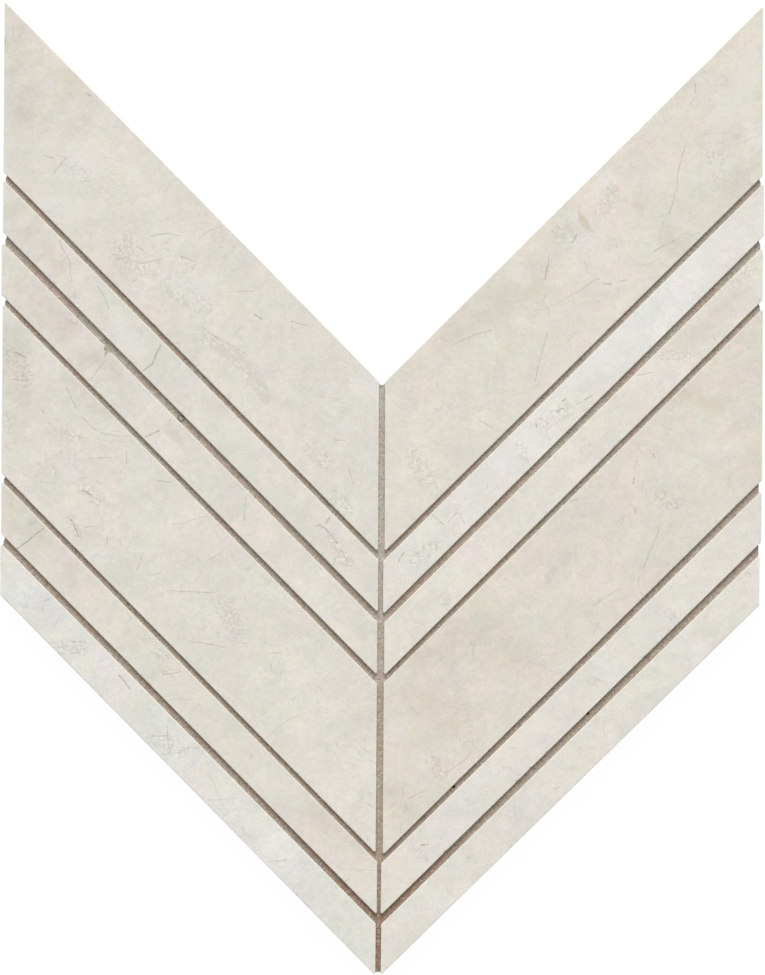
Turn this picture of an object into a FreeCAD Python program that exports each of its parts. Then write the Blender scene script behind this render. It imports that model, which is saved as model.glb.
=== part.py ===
import FreeCAD, Part
import os
import Sketcher

# A chevron mosaic wall tile: twelve mitred marble strips in two mirrored columns, nested as
# downward-pointing Vs, with grouted joints, on a thin backing net.
# The sheet lies on its back. +Z comes out of the polished face, +Y points to the open end of the Vs,
# and +X is to the right for someone who faces the polished side. The origin is in the middle of the
# sheet's outline, on its lowest plane. Lengths are in millimetres and angles in degrees.

# Driving dimensions
SIZES = [
    ("stone_run", 151.15, "reach of a strip across its column"),
    ("wide_strip", 48.0, "width of a wide strip, across its long edges"),
    ("narrow_strip", 15.0, "width of a narrow strip"),
    ("mitre", 45.0, "angle at which the strips are cut and laid"),
    ("stone_thick", 9.5, "thickness of the stone"),
    ("corner_radius", 0.5, "rounding of a strip's four upright corners"),
    ("arris", 0.3, "width and depth of the eased edge around the polished face"),
    ("centre_joint", 2.5, "joint between the two columns"),
    ("joint_1", 2.3, "joint below the first course"),
    ("joint_2", 2.8, "joint below the second course"),
    ("joint_3", 2.3, "joint below the third course"),
    ("joint_4", 2.4, "joint below the fourth course"),
    ("joint_5", 2.8, "joint below the fifth course"),
    ("grout_recess", 1.5, "depth of the grout below the polished face"),
    ("grout_end_inset", 1.2, "distance from the outline to the grout's ends"),
    ("grout_end_hollow", 1.7, "radius of the hollow in each end of the grout"),
    ("net_thick", 0.5, "thickness of the backing net with its glue"),
    ("net_inset", 2.0, "distance from the outline to the net's edge"),
    ("chip_radius", 1.8, "radius of the hollow that the chip left"),
    ("chip_stand_off", 0.4, "distance of that hollow's centre beyond the edge and above the face"),
    ("chip_reach", 54.3, "distance of the chip from the middle of its strip"),
]

# The courses from the top, each as the name of its strips' width
COURSES = ["wide_strip", "narrow_strip", "narrow_strip", "wide_strip", "narrow_strip", "narrow_strip"]

# The side of the sheet's middle that each column is on, along X
COLUMNS = {"left": -1, "right": 1}

# How each strip differs from a nominal one, as it was cut and laid by hand, course by course
UNEVENNESS = {
    "longer": ("extra reach across the column of strip", {
        "left": [0.0, 0.25, 0.3, 0.05, 0.55, 0.3],
        "right": [-0.15, 1.0, 0.0, 0.0, -0.15, -1.25]}),
    "wider": ("extra width of strip", {
        "left": [0.35, -0.1, 0.0, 0.0, -0.05, -0.3],
        "right": [0.25, 0.05, 0.0, 0.7, -0.4, -0.6]}),
    "slide": ("outward slide along its length of strip", {
        "left": [-0.25, -0.3, 0.15, -0.15, -0.55, -0.1],
        "right": [-0.35, -0.1, 0.15, 0.2, -0.3, -0.65]}),
    "drop": ("distance below its place, across its long edges, of strip", {
        "left": [0.1, 0.15, 0.25, 0.25, 0.0, -0.2],
        "right": [0.0, 0.25, 0.35, 0.65, 0.85, 0.45]}),
    "turn": ("turn of strip", {
        "left": [0.05, 0.05, 0.0, 0.1, 0.05, 0.05],
        "right": [0.2, 0.2, 0.15, 0.05, -0.2, -0.3]}),
}

# The strip that has a chip in its upper long edge
CHIPPED_STONE = "left_stone_3"


def depth_above(course):
    """Depth across the strips, from the outline's top edge to the top edge of a course."""
    terms = [f"sizes.{COURSES[n]} + sizes.joint_{n + 1}" for n in range(course)]
    return "(" + " + ".join(terms or ["0"]) + ")"


# Expressions for the outline, worked out from the sheet's cells
LAST = len(COURSES) - 1
SHEET_WIDTH = "(2 * sizes.stone_run + sizes.centre_joint)"
COLUMN_HEIGHT = f"(({depth_above(LAST)} + sizes.{COURSES[LAST]}) / cos(sizes.mitre))"
V_DROP = "(sizes.stone_run * tan(sizes.mitre))"
TOP = f"(({COLUMN_HEIGHT} + {V_DROP}) / 2)"
COLUMN_MIDDLE = "((sizes.centre_joint + sizes.stone_run) / 2)"


def make_sheet(doc):
    """Spreadsheet with the driving dimensions, one to a row: meaning, then value under its alias."""
    rows = list(SIZES)
    for difference, (meaning, columns) in UNEVENNESS.items():
        for column, values in columns.items():
            for course, value in enumerate(values, start=1):
                rows.append((f"{difference}_{column}_{course}", value, f"{meaning} {column}_{course}"))
    sheet = doc.addObject("Spreadsheet::Sheet", "sizes")
    for row, (alias, value, meaning) in enumerate(rows, start=1):
        sheet.set(f"A{row}", meaning)
        sheet.set(f"B{row}", str(value))
        sheet.setAlias(f"B{row}", alias)
    doc.recompute()
    return sheet


def origin_plane(body):
    """The body's own XY plane."""
    return next(plane for plane in body.Origin.OriginFeatures if plane.Role == "XY_Plane")


def new_body(doc, name):
    """An empty body with its label, and a sketch on its XY plane."""
    body = doc.addObject("PartDesign::Body", name)
    body.Label = name
    sketch = body.newObject("Sketcher::SketchObject", f"{name}_outline")
    sketch.AttachmentSupport = [(origin_plane(body), "")]
    sketch.MapMode = "FlatFace"
    return body, sketch


def add_polygon(sketch, points):
    """Closed polygon through the points. Side n starts at point n."""
    corners = [FreeCAD.Vector(x, y, 0) for x, y in points]
    count = len(corners)
    for n in range(count):
        sketch.addGeometry(Part.LineSegment(corners[n], corners[(n + 1) % count]), False)
    for n in range(count):
        sketch.addConstraint(Sketcher.Constraint("Coincident", n, 2, (n + 1) % count, 1))


def bind(sketch, kind, first, second, name, start_value, expression):
    """Distance between two sketch points, named and tied to an expression."""
    index = sketch.addConstraint(Sketcher.Constraint(kind, *first, *second, start_value))
    sketch.renameConstraint(index, name)
    sketch.setExpression(f"Constraints.{name}", expression)


def add_pad(body, sketch, expression):
    """Pad upwards from the sketch."""
    pad = body.newObject("PartDesign::Pad", f"{body.Name}_pad")
    pad.Profile = sketch
    pad.setExpression("Length", expression)
    return pad


def upright_edges(shape):
    """Names of the edges that join the lower face to the upper one."""
    return [f"Edge{number}" for number, edge in enumerate(shape.Edges, start=1)
            if edge.BoundBox.ZLength > shape.BoundBox.ZLength / 2]


def upper_edges(shape):
    """Names of the edges around the upper face."""
    return [f"Edge{number}" for number, edge in enumerate(shape.Edges, start=1)
            if edge.BoundBox.ZMin > shape.BoundBox.ZMax - shape.BoundBox.ZLength / 2]


def add_corner_rounding(doc, body, pad):
    """Fillet of the strip's upright edges."""
    doc.recompute()
    rounding = body.newObject("PartDesign::Fillet", f"{body.Name}_corners")
    rounding.Base = (pad, upright_edges(pad.Shape))
    rounding.setExpression("Radius", "sizes.corner_radius")
    return rounding


def add_arris(doc, body, rounding):
    """Narrow bevel around the polished face."""
    doc.recompute()
    arris = body.newObject("PartDesign::Chamfer", f"{body.Name}_arris")
    arris.Base = (rounding, upper_edges(rounding.Shape))
    arris.setExpression("Size", "sizes.arris")
    return arris


def add_chip(doc, body, side, width):
    """Shell-shaped hollow in the arris of the strip's upper long edge, towards its outer end."""
    doc.recompute()
    chip = body.newObject("PartDesign::SubtractiveSphere", f"{body.Name}_chip")
    chip.AttachmentSupport = [(origin_plane(body), "")]
    chip.MapMode = "FlatFace"
    chip.setExpression("Radius", "sizes.chip_radius")
    chip.setExpression("AttachmentOffset.Base.x", f"{side} * sizes.chip_reach")
    chip.setExpression("AttachmentOffset.Base.y", f"{width} / 2 + sizes.chip_stand_off")
    chip.setExpression("AttachmentOffset.Base.z", "sizes.stone_thick + sizes.chip_stand_off")
    return chip


def make_stone(doc, column, course):
    """A strip with mitred ends, eased corners and eased face edges, laid in its place.

    In the strip's own frame its long edges run along X and its middle is at the origin. Its ends
    lean by the mitre, so that they stand upright on the sheet once the strip is laid.
    """
    side = COLUMNS[column]
    name = f"{column}_stone_{course + 1}"
    strip = f"{column}_{course + 1}"
    run = f"(sizes.stone_run + sizes.longer_{strip})"
    width = f"(sizes.{COURSES[course]} + sizes.wider_{strip})"
    body, sketch = new_body(doc, name)

    # The outline starts as a small strip of the right kind, and the constraints size it.
    half_length = 4
    half_width = 1
    lean = side * half_width
    add_polygon(sketch, [
        (-half_length - lean, -half_width),
        (half_length - lean, -half_width),
        (half_length + lean, half_width),
        (-half_length + lean, half_width)])
    sketch.addConstraint(Sketcher.Constraint("Horizontal", 0))
    sketch.addConstraint(Sketcher.Constraint("Symmetric", 0, 1, 2, 1, -1, 1))
    sketch.addConstraint(Sketcher.Constraint("Symmetric", 1, 1, 3, 1, -1, 1))
    bind(sketch, "DistanceX", (0, 1), (0, 2), "length", 2 * half_length, f"{run} / cos(sizes.mitre)")
    bind(sketch, "DistanceY", (1, 1), (1, 2), "width", 2 * half_width, width)
    lower, upper = ((1, 1), (1, 2)) if side > 0 else ((1, 2), (1, 1))
    bind(sketch, "DistanceX", lower, upper, "lean", 2 * half_width, f"{width} * tan(sizes.mitre)")

    pad = add_pad(body, sketch, "sizes.stone_thick")
    rounding = add_corner_rounding(doc, body, pad)
    body.Tip = add_arris(doc, body, rounding)
    if name == CHIPPED_STONE:
        body.Tip = add_chip(doc, body, side, width)

    middle_depth = f"({depth_above(course)} + sizes.{COURSES[course]} / 2 + sizes.drop_{strip})"
    slide = f"sizes.slide_{strip}"
    body.Placement.Rotation.Axis = FreeCAD.Vector(0, 0, 1)
    body.setExpression("Placement.Rotation.Angle", f"{side} * (sizes.mitre + sizes.turn_{strip})")
    body.setExpression("Placement.Base.x", f"{side} * ({COLUMN_MIDDLE} + {slide} * cos(sizes.mitre))")
    body.setExpression("Placement.Base.y", (
        f"{TOP} - {V_DROP} / 2 - {middle_depth} / cos(sizes.mitre)"
        f" + {slide} * sin(sizes.mitre)"))
    body.setExpression("Placement.Base.z", "sizes.net_thick")
    return body


def make_chevron_slab(doc, name, inset, thickness, level):
    """Slab with the sheet's V-shaped outline, drawn in by an inset, with its lower face at a level."""
    body, sketch = new_body(doc, name)

    # The outline starts as a small V, and the constraints size it.
    reach = 3
    top = 4
    height = 5
    add_polygon(sketch, [
        (-reach, top),
        (0, top - reach),
        (reach, top),
        (reach, top - height),
        (0, top - reach - height),
        (-reach, top - height)])
    sketch.addConstraint(Sketcher.Constraint("Vertical", 2))
    for tip in (1, 4):
        sketch.addConstraint(Sketcher.Constraint("PointOnObject", tip, 1, -2))
    sketch.addConstraint(Sketcher.Constraint("Symmetric", 0, 1, 2, 1, -2))
    sketch.addConstraint(Sketcher.Constraint("Symmetric", 3, 1, 5, 1, -2))
    half_width = f"({SHEET_WIDTH} / 2 - {inset})"
    upright_height = f"{COLUMN_HEIGHT} - 2 * {inset} / cos(sizes.mitre)"
    bind(sketch, "DistanceX", (-1, 1), (2, 1), "half_width", reach, half_width)
    bind(sketch, "DistanceY", (-1, 1), (2, 1), "top", top,
         f"{TOP} - {inset} * tan(sizes.mitre) - {inset} / cos(sizes.mitre)")
    bind(sketch, "DistanceY", (1, 1), (2, 1), "drop", reach, f"{half_width} * tan(sizes.mitre)")
    bind(sketch, "DistanceY", (3, 1), (2, 1), "column", height, upright_height)
    bind(sketch, "DistanceY", (4, 1), (1, 1), "middle", height, upright_height)

    body.Tip = add_pad(body, sketch, thickness)
    body.setExpression("Placement.Base.z", level)
    return body


def make_end_hollow(doc, name, x, y):
    """Round cutter that hollows one end of the grout."""
    cutter = doc.addObject("Part::Cylinder", name)
    cutter.setExpression("Radius", "sizes.grout_end_hollow")
    cutter.setExpression("Height", "sizes.net_thick + sizes.stone_thick")
    cutter.setExpression("Placement.Base.x", x)
    cutter.setExpression("Placement.Base.y", y)
    return cutter


def make_end_hollows(doc):
    """Cutters for both ends of the upright joint, level with the strips' corners, and for the outer
    end of each sloping joint, on the sheet's outline."""
    cutters = [
        make_end_hollow(doc, "hollow_top", "0", f"{TOP} - {V_DROP}"),
        make_end_hollow(doc, "hollow_bottom", "0", f"-{TOP}")]
    for column, side in COLUMNS.items():
        for joint in range(1, len(COURSES)):
            depth = f"({depth_above(joint)} - sizes.joint_{joint} / 2)"
            cutters.append(make_end_hollow(
                doc, f"hollow_{column}_{joint}",
                f"{side} * {SHEET_WIDTH} / 2", f"{TOP} - {depth} / cos(sizes.mitre)"))
    return cutters


def make_grout_tongue(doc, height):
    """Short bar that carries the upright joint's grout up to the strips' corners, where the slab's
    own edge dips below them. It is a little wider than the joint and four joints long."""
    tongue = doc.addObject("Part::Box", "grout_tongue")
    width = "(sizes.centre_joint + sizes.grout_end_inset)"
    length = "(4 * sizes.centre_joint)"
    tongue.setExpression("Length", width)
    tongue.setExpression("Width", length)
    tongue.setExpression("Height", height)
    tongue.setExpression("Placement.Base.x", f"-{width} / 2")
    tongue.setExpression("Placement.Base.y", f"{TOP} - {V_DROP} - sizes.grout_end_inset - {length}")
    tongue.setExpression("Placement.Base.z", "sizes.net_thick")
    return tongue


def make_grout(doc, stones):
    """The grout: what is left of a chevron slab with its tongue, once the hollow ends and the strips
    are cut out of it."""
    height = "sizes.stone_thick - sizes.grout_recess"
    filling = doc.addObject("Part::Fuse", "grout_filling")
    filling.Base = make_chevron_slab(doc, "grout_slab", "sizes.grout_end_inset", height, "sizes.net_thick")
    filling.Tool = make_grout_tongue(doc, height)
    cutters = doc.addObject("Part::Compound", "grout_cutters")
    cutters.Links = make_end_hollows(doc)
    hollowed = doc.addObject("Part::Cut", "grout_filling_hollowed")
    hollowed.Base = filling
    hollowed.Tool = cutters
    strips = doc.addObject("Part::Compound", "strips")
    strips.Links = stones
    grout = doc.addObject("Part::Cut", "grout")
    grout.Label = "grout"
    grout.Base = hollowed
    grout.Tool = strips
    return grout


def check(doc, pieces):
    """Stop if any object failed, or if a piece isn't one valid solid."""
    for item in doc.Objects:
        if "Invalid" in item.State or "Error" in item.State:
            raise RuntimeError(f"{item.Name} failed: {item.State}")
    for piece in pieces:
        shape = piece.Shape
        if shape.isNull() or not shape.isValid() or len(shape.Solids) != 1:
            raise RuntimeError(f"{piece.Label} isn't one valid solid")


def write_parts(pieces):
    """One STEP file for each piece, named after its label."""
    os.makedirs("parts", exist_ok=True)
    for piece in pieces:
        piece.Shape.exportStep(f"parts/{piece.Label}.step")
        box = piece.Shape.BoundBox
        print(f"{piece.Label}: volume {piece.Shape.Volume:.1f}, "
              f"X {box.XMin:.2f} to {box.XMax:.2f}, Y {box.YMin:.2f} to {box.YMax:.2f}, "
              f"Z {box.ZMin:.2f} to {box.ZMax:.2f}")


def main():
    doc = FreeCAD.newDocument("chevron_wall_tile")
    make_sheet(doc)
    stones = [make_stone(doc, column, course) for column in COLUMNS for course in range(len(COURSES))]
    grout = make_grout(doc, stones)
    net = make_chevron_slab(doc, "backing_net", "sizes.net_inset", "sizes.net_thick", "0")
    doc.recompute()
    pieces = stones + [grout, net]
    check(doc, pieces)
    write_parts(pieces)


main()
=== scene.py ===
import math

import bmesh
import bpy
import numpy as np
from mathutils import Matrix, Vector, noise
from mathutils.geometry import delaunay_2d_cdt
from mathutils.kdtree import KDTree


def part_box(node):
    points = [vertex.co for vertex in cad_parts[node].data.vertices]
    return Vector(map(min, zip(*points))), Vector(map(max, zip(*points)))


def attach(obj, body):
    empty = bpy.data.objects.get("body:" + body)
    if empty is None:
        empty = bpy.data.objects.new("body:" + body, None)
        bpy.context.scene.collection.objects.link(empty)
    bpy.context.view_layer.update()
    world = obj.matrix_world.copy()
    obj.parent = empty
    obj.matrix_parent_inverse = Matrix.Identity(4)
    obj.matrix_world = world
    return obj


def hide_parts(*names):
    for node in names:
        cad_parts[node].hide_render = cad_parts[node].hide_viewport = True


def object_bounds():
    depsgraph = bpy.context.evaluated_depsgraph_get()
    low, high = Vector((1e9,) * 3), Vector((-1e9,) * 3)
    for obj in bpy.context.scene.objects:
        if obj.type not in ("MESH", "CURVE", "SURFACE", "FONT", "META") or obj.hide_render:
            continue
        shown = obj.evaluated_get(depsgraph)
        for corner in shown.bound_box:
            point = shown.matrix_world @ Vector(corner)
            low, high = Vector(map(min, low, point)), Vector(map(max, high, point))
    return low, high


# A chevron mosaic wall tile of twelve pale marble strips, with sanded grout and an open backing net.
# The sheet lies on its back: +Z comes out of the polished face and +Y points to the open end of the Vs.
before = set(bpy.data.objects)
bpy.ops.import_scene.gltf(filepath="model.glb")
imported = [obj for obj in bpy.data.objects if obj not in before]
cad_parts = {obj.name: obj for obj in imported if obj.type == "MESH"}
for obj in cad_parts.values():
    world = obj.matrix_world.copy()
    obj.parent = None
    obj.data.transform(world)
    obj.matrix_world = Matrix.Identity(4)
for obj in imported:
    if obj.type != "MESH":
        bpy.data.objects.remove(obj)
cad_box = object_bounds()

MM = 0.001
WELD = 1e-6

# The photograph's frame
IMAGE_HEIGHT = 975
MM_PER_PIXEL = 0.4005
ROLL = math.radians(0.37)
VIEW_MIDDLE = (0.48 * MM, 0.93 * MM)
LENS = 200.0
SENSOR = 36.0

# Light: its level is the brightness of a white face that looks straight up
KEY_LEVEL = 0.575
FILL_LEVEL = 0.42
KEY_HEIGHT = math.radians(37)
KEY_SPREAD = math.radians(38)

# Edges of the strips
CORNER_RADIUS = 0.5 * MM
ACUTE_CORNER = math.radians(45)
EDGE_STEP = 0.7 * MM
EASE = 0.26 * MM
EASE_CHANGE = 0.09 * MM
EDGE_WANDER = 0.05 * MM
EDGE_DEPTHS = [0.0, 0.02, 0.06, 0.12, 0.2, 0.3, 0.42, 0.6, 0.85, 1.2, 1.6, 2.1, 5.0, 9.3]
BACK_CRUMBLE = 0.12 * MM
SHOULDER = 0.35 * MM
FACE_STEP = 6.0 * MM
NICKS_PER_STRIP = 14

# The chip in the third strip of the left column, from the strip's middle towards its outer end
CHIPPED = "left_stone_3"
CHIP_RADIUS = 1.8 * MM
CHIP_STAND_OFF = 0.4 * MM
CHIP_REACH = 54.3 * MM

# Where grout fills the chip: its width and route on the sheet in mm
CHIP_SMEAR = (4.6, [(-109.4, 55.6), (-110.6, 54.4)])

# Notches that the photograph shows in long edges: place in mm, half length and depth in mm
SEEN_NICKS = {
    "right_stone_4": [((91.0, 12.3), 0.9, 0.45)],
    "right_stone_5": [((67.3, -104.9), 0.9, 0.4), ((60.6, -111.2), 1.0, 0.5), ((55.0, -116.2), 0.8, 0.5),
                      ((26.2, -144.6), 1.3, 0.5), ((88.3, -81.8), 0.6, 0.3)],
}

# Grout surface
GROUT_STEP = 0.55 * MM
GROUT_ROWS = [0.2, 0.5, 0.85, 1.2, 1.6, 2.1]
GROUT_SEAL = 0.06 * MM
PINHOLES = [(29.7, -118.8), (83.2, -89.0)]
GROUT_LUMP = (-80.4, 28.1)

# Net of glass yarn
NET_PITCH = 5.0 * MM
YARN_WIDTH = 0.55 * MM
YARN_HEIGHT = 0.24 * MM


def unit(vectors):
    """Each row scaled to length 1."""
    return vectors / np.linalg.norm(vectors, axis=1)[:, None]


def outline_of(node, sign):
    """Outline of a CAD node's highest face (sign 1) or lowest face (sign -1), anticlockwise from above."""
    mesh = bmesh.new()
    mesh.from_mesh(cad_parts[node].data)
    bmesh.ops.remove_doubles(mesh, verts=mesh.verts, dist=WELD)
    level = max(sign * vert.co.z for vert in mesh.verts)
    flat = {face for face in mesh.faces
            if all(level - sign * vert.co.z < WELD for vert in face.verts)}
    after = {}
    for face in flat:
        for corner in face.loops:
            if sum(other in flat for other in corner.edge.link_faces) == 1:
                after[corner.vert] = corner.link_loop_next.vert
    vert = next(iter(after))
    points = []
    while vert in after:
        points.append((vert.co.x, vert.co.y))
        vert = after.pop(vert)
    mesh.free()
    return np.array(points)[::sign]


def resample(points, step):
    """The closed outline with its long runs divided into lengths of about a step."""
    result = []
    for start, end in zip(points, np.roll(points, -1, axis=0)):
        count = max(1, round(np.linalg.norm(end - start) / step))
        for n in range(count):
            result.append(start + (end - start) * n / count)
    return np.array(result)


def outward(points):
    """Unit normals at the points of a closed anticlockwise outline."""
    ahead = unit(np.roll(points, -1, axis=0) - points)
    behind = unit(points - np.roll(points, 1, axis=0))
    along = unit(ahead + behind)
    return np.column_stack([along[:, 1], -along[:, 0]])


def wander(points, size, seed):
    """Smooth noise from -1 to 1 along an outline, with features about a size across."""
    return np.array([noise.noise(Vector((x / size, y / size, seed))) for x, y in points])


def fill(ring, inner):
    """Triangles that fill a closed ring, with further points inside it. Rows are points, then triangles."""
    points = [Vector(point) for point in np.vstack([ring, inner])]
    border = list(range(len(ring)))
    _, _, faces, sources, _, _ = delaunay_2d_cdt(points, [], [border], 1, 0.01 * WELD)
    first = [source[0] for source in sources]
    return [tuple(first[v] for v in face) for face in faces]


def build(name, points, faces, material, nodes):
    """Mesh object in the row frame that rides on the sheet and stands for its CAD nodes."""
    mesh = bpy.data.meshes.new(name)
    mesh.from_pydata([tuple(p) for p in points], [], faces)
    mesh.validate()
    mesh.shade_smooth()
    mesh.set_sharp_from_angle(angle=math.radians(50))
    mesh.materials.append(material)
    piece = bpy.data.objects.new(name, mesh)
    bpy.context.scene.collection.objects.link(piece)
    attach(piece, "root")
    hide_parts(*nodes)
    return piece


def walls(count, rings):
    """Quads between rings of a count of points each, the first ring uppermost, seen from outside."""
    faces = []
    for ring in range(rings - 1):
        upper = ring * count
        lower = upper + count
        for n in range(count):
            following = (n + 1) % count
            faces.append((upper + n, lower + n, lower + following, upper + following))
    return faces


def nick_depths(outline, seen, generator):
    """Depth at each point of the small nicks that cutting and handling left in a strip's edge: those
    that were seen on it, and others at random."""
    lengths = np.linalg.norm(np.roll(outline, -1, axis=0) - outline, axis=1)
    place = np.concatenate([[0], np.cumsum(lengths)[:-1]])
    around = lengths.sum()
    depth = np.zeros(len(outline))
    for middle, half, deepest in seen:
        away = np.linalg.norm(outline / MM - middle, axis=1)
        depth = np.maximum(depth, deepest * MM * np.sqrt(np.clip(1 - (away / half) ** 2, 0, 1)))
    for _ in range(NICKS_PER_STRIP):
        middle = generator.uniform(0, around)
        half = generator.uniform(0.35, 1.5) * MM
        deepest = generator.uniform(0.08, 0.34) * MM
        away = np.abs((place - middle + around / 2) % around - around / 2)
        depth = np.maximum(depth, deepest * np.sqrt(np.clip(1 - (away / half) ** 2, 0, 1)))
    return depth


def from_corners(outline):
    """Distance of each point of an outline from the nearest rounded corner."""
    lengths = np.linalg.norm(np.roll(outline, -1, axis=0) - outline, axis=1)
    tight = lengths < 0.35 * EDGE_STEP
    corners = outline[tight | np.roll(tight, 1)]
    return np.min(np.linalg.norm(outline[:, None] - corners[None], axis=2), axis=1)


def chip_inset(outline, normals, along, depth):
    """How far the chip's round hollow reaches in from each point of the outline, at a depth."""
    middle = (outline.min(axis=0) + outline.max(axis=0)) / 2
    across = np.array([-along[1], along[0]])
    edge = np.max((outline - middle) @ across)
    centre = middle - along * CHIP_REACH + across * (edge + CHIP_STAND_OFF)
    offset = outline - centre
    above = np.sum(offset * normals, axis=1)
    on_edge = np.abs(above + CHIP_STAND_OFF) < 0.3 * MM
    beside = np.sum(offset ** 2, axis=1) - above ** 2
    reach = CHIP_RADIUS ** 2 - (depth + CHIP_STAND_OFF) ** 2 - beside
    return np.where(on_edge, np.sqrt(np.clip(reach, 0, None)) - CHIP_STAND_OFF, 0)


def make_strip(node, seed, material):
    """A marble strip with softly eased, slightly uneven and nicked edges."""
    generator = np.random.default_rng(seed)
    low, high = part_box(node)
    corners = outline_of(node, -1)
    sides = np.roll(corners, -1, axis=0) - corners
    longest = sides[np.argmax(np.linalg.norm(sides, axis=1))]
    along = longest * np.sign(longest[0]) / np.linalg.norm(longest)
    outline = resample(corners, EDGE_STEP)
    normals = outward(outline)
    room = 0.9 * (CORNER_RADIUS + math.tan(ACUTE_CORNER / 2) * from_corners(outline))
    ease = EASE + EASE_CHANGE * (wander(outline, 9 * MM, seed) + 0.5 * wander(outline, 1.6 * MM, seed))
    ease = np.minimum(ease, room)
    drift = EDGE_WANDER * (0.5 + 0.5 * wander(outline, 12 * MM, seed + 0.5))
    nicks = nick_depths(outline, SEEN_NICKS.get(node, []), generator)

    def ring_at(inset, level):
        ring = outline - normals * np.minimum(inset, room)[:, None]
        return np.column_stack([ring, np.full(len(ring), level)])

    points = []
    for depth in np.array(EDGE_DEPTHS) * MM:
        left = np.clip(ease - depth, 0, None)
        inset = ease - np.sqrt(ease ** 2 - left ** 2)
        nicked = nicks * np.clip(1 - (depth / (1.2 * nicks + WELD)) ** 2, 0, 1)
        inset = np.maximum(inset, np.where(nicks > 0, nicked + 0.3 * inset, 0))
        inset += drift * np.clip(1 - depth / MM, 0, 1)
        if node == CHIPPED:
            inset = np.maximum(inset, chip_inset(outline, normals, along, depth))
        if not points:
            points.append(ring_at(inset + SHOULDER, high.z))
        points.append(ring_at(inset, high.z - depth))
    crumble = BACK_CRUMBLE * (0.6 + 0.4 * wander(outline, 1.5 * MM, seed + 0.3))
    points.append(ring_at(crumble, low.z))

    count = len(outline)
    rings = len(points)
    faces = walls(count, rings)
    spread = np.arange(-200, 200, FACE_STEP / MM) * MM
    grid = np.array([(x, y) for x in spread for y in spread])
    grid = grid[inside(grid, corners, 2 * MM)]
    inner_start = rings * count
    for face in fill(points[0][:, :2], grid):
        faces.append(tuple(v if v < count else v - count + inner_start for v in face))
    last = (rings - 1) * count
    for face in fill(points[-1][:, :2], np.zeros((0, 2))):
        faces.append(tuple(last + v for v in reversed(face)))
    points.append(np.column_stack([grid, np.full(len(grid), high.z)]))
    return build(node + "_marble", np.vstack(points), faces, material, [node])


def inside(points, outline, margin):
    """Which points lie inside a convex outline, further than a margin from it."""
    kept = np.ones(len(points), bool)
    for start, end in zip(outline, np.roll(outline, -1, axis=0)):
        along = end - start
        out = np.array([along[1], -along[0]]) / np.linalg.norm(along)
        kept &= (points - start) @ out < -margin
    return kept


def tree_of(points):
    """Search tree of the points."""
    tree = KDTree(len(points))
    for n, (x, y) in enumerate(points):
        tree.insert((x, y, 0), n)
    tree.balance()
    return tree


def grout_points(outline, normals, generator):
    """Points inside the grout's outline, in rows beside its edges, evenly spaced."""
    edge = tree_of(outline)
    taken = {}
    result = []
    cell = 0.36 * MM
    for row in GROUT_ROWS:
        shift = generator.uniform(-0.07, 0.07, (len(outline), 2)) * MM
        for x, y in outline - normals * row * MM + shift:
            _, n, away = edge.find((x, y, 0))
            if away < min(row, 1.1) * 0.8 * MM or (Vector((x, y)) - Vector(outline[n])).dot(normals[n]) > 0:
                continue
            key = (round(x / cell), round(y / cell))
            near = [taken.get((key[0] + i, key[1] + j)) for i in (-1, 0, 1) for j in (-1, 0, 1)]
            if any(p and math.hypot(p[0] - x, p[1] - y) < cell for p in near):
                continue
            taken[key] = (x, y)
            result.append((x, y))
    return np.array(result), edge


def grout_height(x, y, away):
    """Height of the grout's surface above its CAD level: a trough with sandy unevenness."""
    place = Vector((x, y, 0)) / MM
    height = 0.2 * math.exp(-away / (0.35 * MM)) - 0.05
    height += 0.07 * noise.noise(place / 0.6) + 0.07 * noise.noise(place / 1.7) + 0.1 * noise.noise(place / 9)
    for hole in PINHOLES:
        apart = (place.xy - Vector(hole)).length
        height -= 1.1 * max(0, 1 - (apart / 0.8) ** 2)
    lump = (place.xy - Vector(GROUT_LUMP)).length
    height += 0.35 * max(0, 1 - (lump / 1.3) ** 2)
    return height * MM


def make_grout(material):
    """The sanded grout in all joints: an uneven trough between the strips, with rough open ends."""
    node = "grout"
    low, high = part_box(node)
    generator = np.random.default_rng(61)
    outline = resample(outline_of(node, 1), GROUT_STEP)
    normals = outward(outline)
    inner, edge = grout_points(outline, normals, generator)
    sealed = outline + normals * GROUT_SEAL
    count = len(outline)
    top = np.array([high.z + grout_height(x, y, 0) for x, y in outline])
    points = [np.column_stack([sealed, top])]
    for share in (0.3, 0.65):
        rough = 0.12 * MM * (0.5 + 0.5 * wander(outline, 0.9 * MM, share))
        level = top + (low.z - top) * share
        points.append(np.column_stack([sealed - normals * rough[:, None], level]))
    points.append(np.column_stack([sealed, np.full(count, low.z)]))
    rings = len(points)
    faces = walls(count, rings)
    heights = [high.z + grout_height(x, y, edge.find((x, y, 0))[2]) for x, y in inner]
    points.append(np.column_stack([inner, heights]))
    start = rings * count
    for face in fill(sealed, inner):
        faces.append(tuple(v if v < count else v - count + start for v in face))
    last = (rings - 1) * count
    for face in fill(sealed, np.zeros((0, 2))):
        faces.append(tuple(last + v for v in reversed(face)))
    return build("grout_sanded", np.vstack(points), faces, material, [node])


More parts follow.
